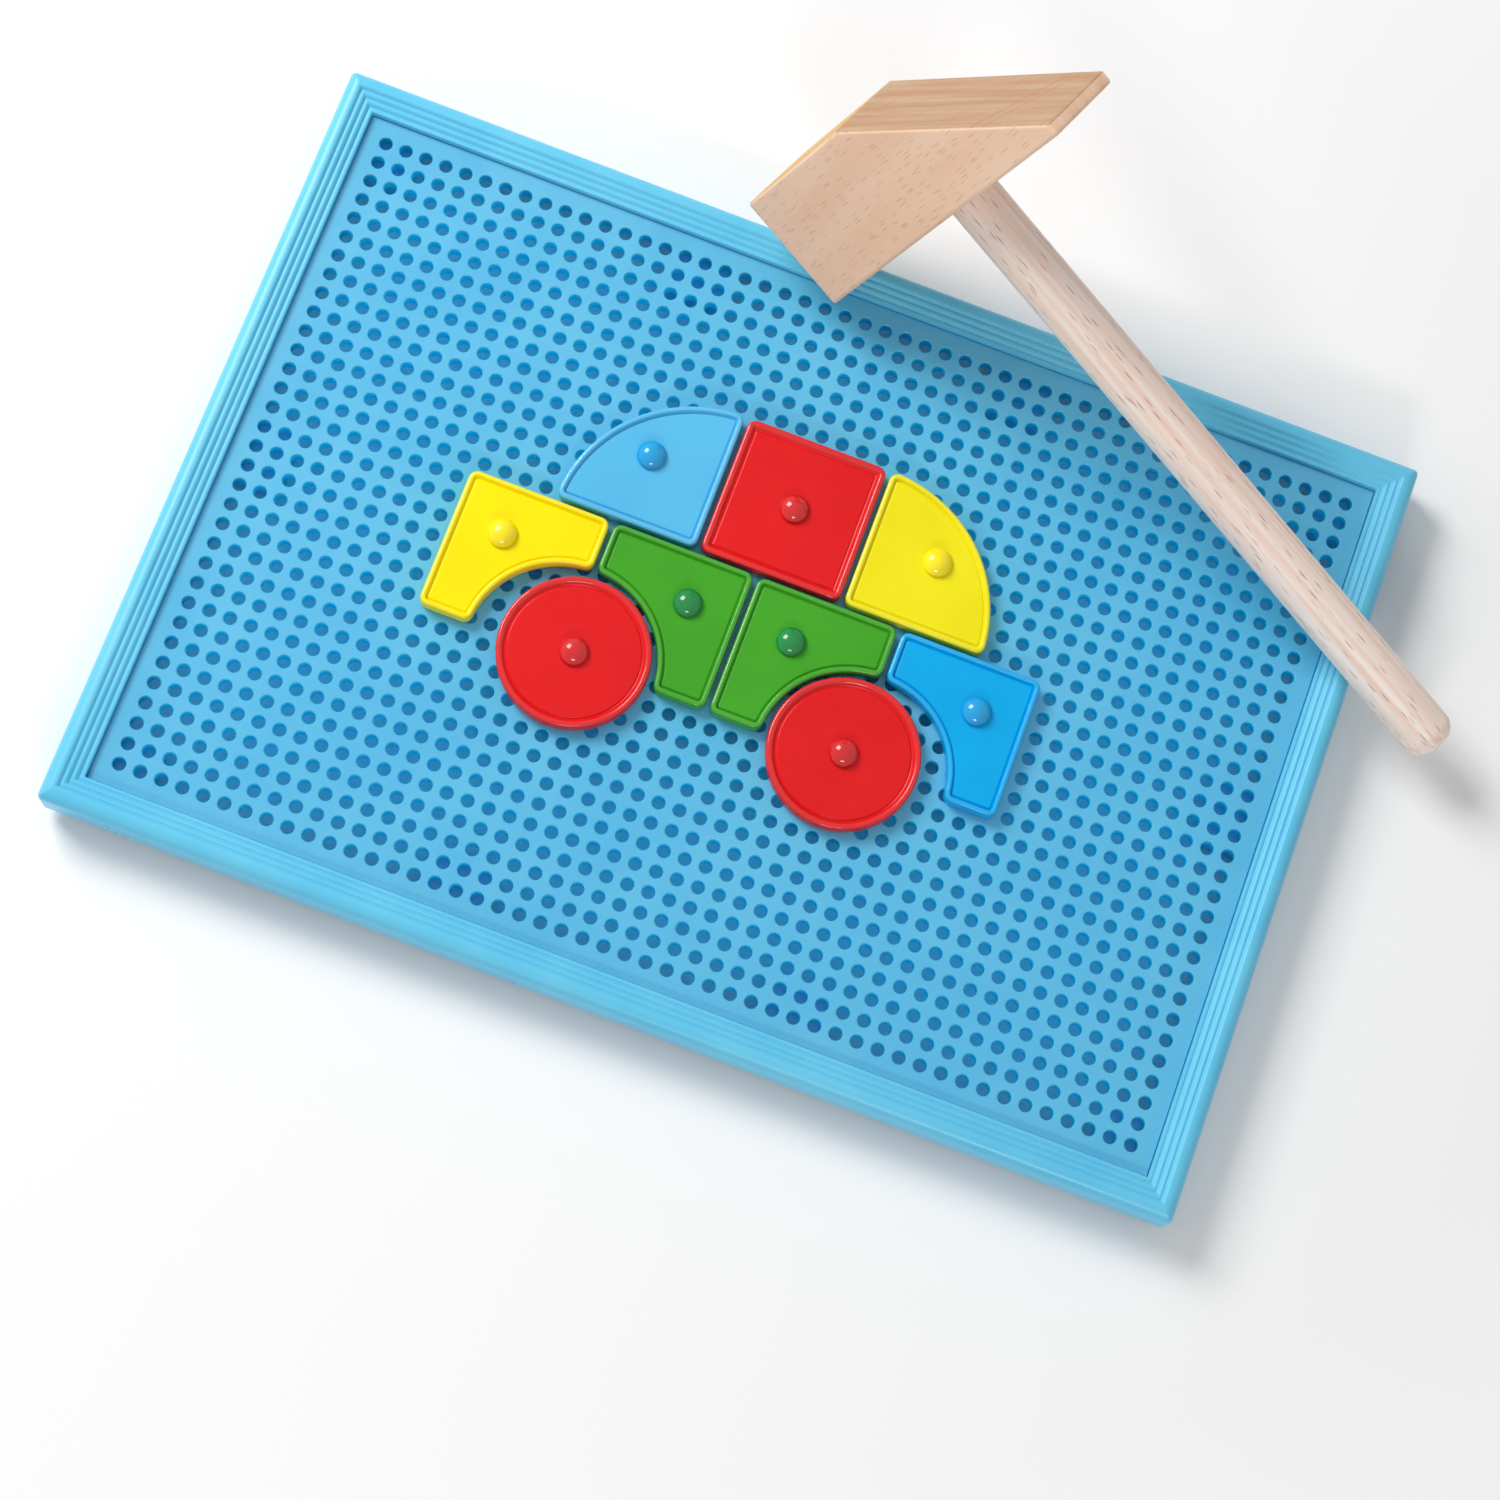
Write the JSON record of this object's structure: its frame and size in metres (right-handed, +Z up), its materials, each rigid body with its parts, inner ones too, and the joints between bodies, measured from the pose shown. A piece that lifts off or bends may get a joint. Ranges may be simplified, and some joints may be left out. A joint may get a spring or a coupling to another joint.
{
  "type": "toy hammer board",
  "caption": "Toy hammer board: a framed perforated plastic board, colour tiles pinned on it as a car by push-in nails, and a wooden hammer with a block head and round handle.",
  "frame": {"origin": "bottom centre of the whole set's box, on the table that the board's feet stand on", "axes": "+X along the board's long side, to the right of the car; +Y away from the viewer, towards the hammer's head; +Z up"},
  "size_m": [0.3274, 0.2406, 0.1106],
  "materials": {
    "board_blue": "satin moulded plastic",
    "yellow": "glossy moulded plastic",
    "green": "glossy moulded plastic",
    "nail_green": "glossy moulded plastic",
    "sky_blue": "glossy moulded plastic",
    "pale_blue": "glossy moulded plastic",
    "red": "glossy moulded plastic",
    "head_wood": "sanded beech",
    "handle_wood": "sanded beech"
  },
  "bodies": {
    "board": {"board_frame": "board_blue", "peg_plate": "board_blue"},
    "yellow_fender": {"yellow_fender": "yellow"},
    "yellow_fender_nail": {"yellow_fender_nail": "yellow"},
    "green_fender_left": {"green_fender_left": "green"},
    "green_fender_left_nail": {"green_fender_left_nail": "nail_green"},
    "green_fender_right": {"green_fender_right": "green"},
    "green_fender_right_nail": {"green_fender_right_nail": "nail_green"},
    "blue_fender": {"blue_fender": "sky_blue"},
    "blue_fender_nail": {"blue_fender_nail": "sky_blue"},
    "pale_blue_quarter": {"pale_blue_quarter": "pale_blue"},
    "pale_blue_quarter_nail": {"pale_blue_quarter_nail": "sky_blue"},
    "red_square": {"red_square": "red"},
    "red_square_nail": {"red_square_nail": "red"},
    "yellow_quarter": {"yellow_quarter": "yellow"},
    "yellow_quarter_nail": {"yellow_quarter_nail": "yellow"},
    "red_wheel_left": {"red_wheel_left": "red"},
    "red_wheel_left_nail": {"red_wheel_left_nail": "red"},
    "red_wheel_right": {"red_wheel_right": "red"},
    "red_wheel_right_nail": {"red_wheel_right_nail": "red"},
    "hammer": {"hammer_head": "head_wood", "hammer_handle": "handle_wood"}
  },
  "joints": [
    {"name": "lift_yellow_fender", "type": "slide", "parent": "board", "child": "yellow_fender", "axis": [0, 0, 1], "range_m": [0, 0.03]},
    {"name": "pull_yellow_fender_nail", "type": "slide", "parent": "yellow_fender", "child": "yellow_fender_nail", "axis": [0, 0, 1], "range_m": [0, 0.03]},
    {"name": "lift_green_fender_left", "type": "slide", "parent": "board", "child": "green_fender_left", "axis": [0, 0, 1], "range_m": [0, 0.03]},
    {"name": "pull_green_fender_left_nail", "type": "slide", "parent": "green_fender_left", "child": "green_fender_left_nail", "axis": [0, 0, 1], "range_m": [0, 0.03]},
    {"name": "lift_green_fender_right", "type": "slide", "parent": "board", "child": "green_fender_right", "axis": [0, 0, 1], "range_m": [0, 0.03]},
    {"name": "pull_green_fender_right_nail", "type": "slide", "parent": "green_fender_right", "child": "green_fender_right_nail", "axis": [0, 0, 1], "range_m": [0, 0.03]},
    {"name": "lift_blue_fender", "type": "slide", "parent": "board", "child": "blue_fender", "axis": [0, 0, 1], "range_m": [0, 0.03]},
    {"name": "pull_blue_fender_nail", "type": "slide", "parent": "blue_fender", "child": "blue_fender_nail", "axis": [0, 0, 1], "range_m": [0, 0.03]},
    {"name": "lift_pale_blue_quarter", "type": "slide", "parent": "board", "child": "pale_blue_quarter", "axis": [0, 0, 1], "range_m": [0, 0.03]},
    {"name": "pull_pale_blue_quarter_nail", "type": "slide", "parent": "pale_blue_quarter", "child": "pale_blue_quarter_nail", "axis": [0, 0, 1], "range_m": [0, 0.03]},
    {"name": "lift_red_square", "type": "slide", "parent": "board", "child": "red_square", "axis": [0, 0, 1], "range_m": [0, 0.03]},
    {"name": "pull_red_square_nail", "type": "slide", "parent": "red_square", "child": "red_square_nail", "axis": [0, 0, 1], "range_m": [0, 0.03]},
    {"name": "lift_yellow_quarter", "type": "slide", "parent": "board", "child": "yellow_quarter", "axis": [0, 0, 1], "range_m": [0, 0.03]},
    {"name": "pull_yellow_quarter_nail", "type": "slide", "parent": "yellow_quarter", "child": "yellow_quarter_nail", "axis": [0, 0, 1], "range_m": [0, 0.03]},
    {"name": "pull_red_wheel_left_nail", "type": "slide", "parent": "board", "child": "red_wheel_left_nail", "axis": [0, 0, 1], "range_m": [0, 0.03]},
    {"name": "spin_red_wheel_left", "type": "hinge", "parent": "red_wheel_left_nail", "child": "red_wheel_left", "pos_m": [-0.05296, -0.03757, 0.0148], "axis": [0, 0, 1], "continuous": true},
    {"name": "pull_red_wheel_right_nail", "type": "slide", "parent": "board", "child": "red_wheel_right_nail", "axis": [0, 0, 1], "range_m": [0, 0.03]},
    {"name": "spin_red_wheel_right", "type": "hinge", "parent": "red_wheel_right_nail", "child": "red_wheel_right", "pos_m": [0.01983, -0.03757, 0.0148], "axis": [0, 0, 1], "continuous": true},
    {"name": "lift_hammer", "type": "slide", "parent": "board", "child": "hammer", "axis": [0, 0, 1], "range_m": [0, 0.15]}
  ]
}
